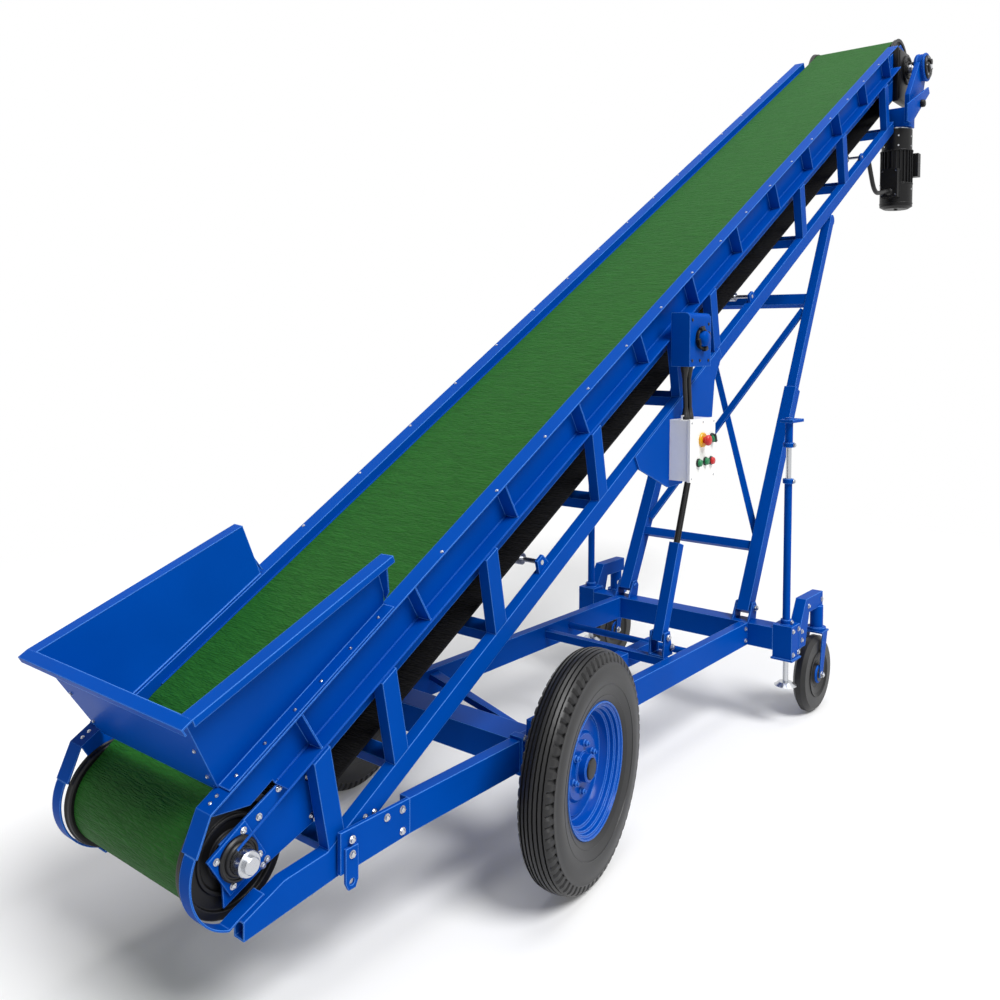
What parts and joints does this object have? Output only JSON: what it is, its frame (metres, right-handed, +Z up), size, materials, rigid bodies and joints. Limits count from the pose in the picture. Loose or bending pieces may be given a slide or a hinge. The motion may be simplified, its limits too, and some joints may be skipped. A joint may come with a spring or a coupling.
{
  "type": "portable belt conveyor",
  "caption": "Wheeled inclined belt conveyor with feed hopper, tilting boom on a rear leg frame, two road wheels and two swivel casters",
  "frame": {"origin": "on the ground below the middle of the length, on the centre plane", "axes": "+X toward the discharge end, +Y across to the side without the switch boxes, +Z up"},
  "size_m": [5.5728, 1.352, 3.7437],
  "materials": {
    "blue_paint": "gloss",
    "belt_rubber": "matte",
    "tyre": "matte",
    "black_paint": "satin",
    "white_case": "satin",
    "zinc": "satin",
    "black_sheath": "satin"
  },
  "bodies": {
    "chassis": {"side_beams": "blue_paint", "hinge_cheeks": "blue_paint", "tow_eyes": "blue_paint", "cross_beams": "blue_paint", "subframe": "blue_paint", "frame_brace": "blue_paint", "axle_clamps": "blue_paint", "spindles": "blue_paint", "jack_housings": "blue_paint", "jack_rods": "zinc", "jack_sleeves": "blue_paint", "caster_arms": "blue_paint", "leg_brackets": "blue_paint", "prop_bracket": "blue_paint"},
    "boom": {"belt": "belt_rubber", "side_rails": "blue_paint", "belt_bed": "blue_paint", "hopper": "blue_paint", "chords": "blue_paint", "truss_posts": "blue_paint", "truss_ties": "blue_paint", "belt_pulleys": "black_paint", "return_idlers": "zinc", "idler_saddles": "blue_paint", "tail_plates": "blue_paint", "hoop_guards": "blue_paint", "tail_bearings": "blue_paint", "head_plates": "blue_paint", "head_bearings": "black_paint", "gearbox": "blue_paint", "torque_plate": "blue_paint", "drive_motor": "black_paint", "gussets": "blue_paint", "prop_lug": "blue_paint", "isolator_box": "blue_paint", "isolator_handle": "black_paint", "control_box": "white_case", "control_buttons": "black_paint", "box_cord_1": "black_sheath", "box_cord_2": "black_sheath", "motor_lead": "black_sheath"},
    "rear_frame": {"legs": "blue_paint", "leg_crossbars": "blue_paint", "leg_braces": "blue_paint"},
    "prop_tube": {"prop_tube": "blue_paint"},
    "prop_rod": {"prop_rod": "black_paint"},
    "wheel_near": {"tyre_near": "tyre", "rim_near": "blue_paint"},
    "jack_near": {"jack_screw_near": "zinc"},
    "swivel_near": {"caster_fork_near": "blue_paint"},
    "caster_near": {"caster_wheel_near": "tyre"},
    "wheel_far": {"tyre_far": "tyre", "rim_far": "blue_paint"},
    "jack_far": {"jack_screw_far": "zinc"},
    "swivel_far": {"caster_fork_far": "blue_paint"},
    "caster_far": {"caster_wheel_far": "tyre"}
  },
  "joints": [
    {"name": "boom_tilt", "type": "hinge", "parent": "chassis", "child": "boom", "pos_m": [-2.20935, 0, 0.419], "axis": [0, -1, 0], "range_deg": [-6, 2]},
    {"name": "rear_frame_swing", "type": "hinge", "parent": "chassis", "child": "rear_frame", "pos_m": [0.27065, 0, 0.5], "axis": [0, -1, 0], "range_deg": [-13.64, 4.88]},
    {"name": "prop_swing", "type": "hinge", "parent": "chassis", "child": "prop_tube", "pos_m": [-0.40935, -0.25, 0.505], "axis": [0, -1, 0], "range_deg": [-10.62, 3.87]},
    {"name": "prop_slide", "type": "slide", "parent": "prop_tube", "child": "prop_rod", "axis": [0.345, 0, 0.9386], "range_m": [-0.1732, 0.0611]},
    {"name": "wheel_spin_near", "type": "hinge", "parent": "chassis", "child": "wheel_near", "pos_m": [-1.40935, -0.545, 0.375], "axis": [-0.165, 0.9863, 0], "continuous": true},
    {"name": "caster_swivel_near", "type": "hinge", "parent": "chassis", "child": "swivel_near", "pos_m": [0.53565, -0.56, 0.4], "axis": [0, 0, 1], "continuous": true},
    {"name": "caster_spin_near", "type": "hinge", "parent": "swivel_near", "child": "caster_near", "pos_m": [0.49065, -0.56, 0.178], "axis": [0, 1, 0], "continuous": true},
    {"name": "jack_travel_near", "type": "slide", "parent": "chassis", "child": "jack_near", "axis": [0, 0, -1], "range_m": [0, 0.15]},
    {"name": "wheel_spin_far", "type": "hinge", "parent": "chassis", "child": "wheel_far", "pos_m": [-1.40935, 0.545, 0.375], "axis": [-0.165, 0.9863, 0], "continuous": true},
    {"name": "caster_swivel_far", "type": "hinge", "parent": "chassis", "child": "swivel_far", "pos_m": [0.53565, 0.56, 0.4], "axis": [0, 0, 1], "continuous": true},
    {"name": "caster_spin_far", "type": "hinge", "parent": "swivel_far", "child": "caster_far", "pos_m": [0.49065, 0.56, 0.178], "axis": [0, 1, 0], "continuous": true},
    {"name": "jack_travel_far", "type": "slide", "parent": "chassis", "child": "jack_far", "axis": [0, 0, -1], "range_m": [0, 0.15]}
  ],
  "couplings": [
    {"joint": "rear_frame_swing", "follows": "boom_tilt", "ratio": 2.19},
    {"joint": "prop_swing", "follows": "boom_tilt", "ratio": 1.686},
    {"joint": "prop_slide", "follows": "boom_tilt", "m_per_rad": 1.606}
  ]
}
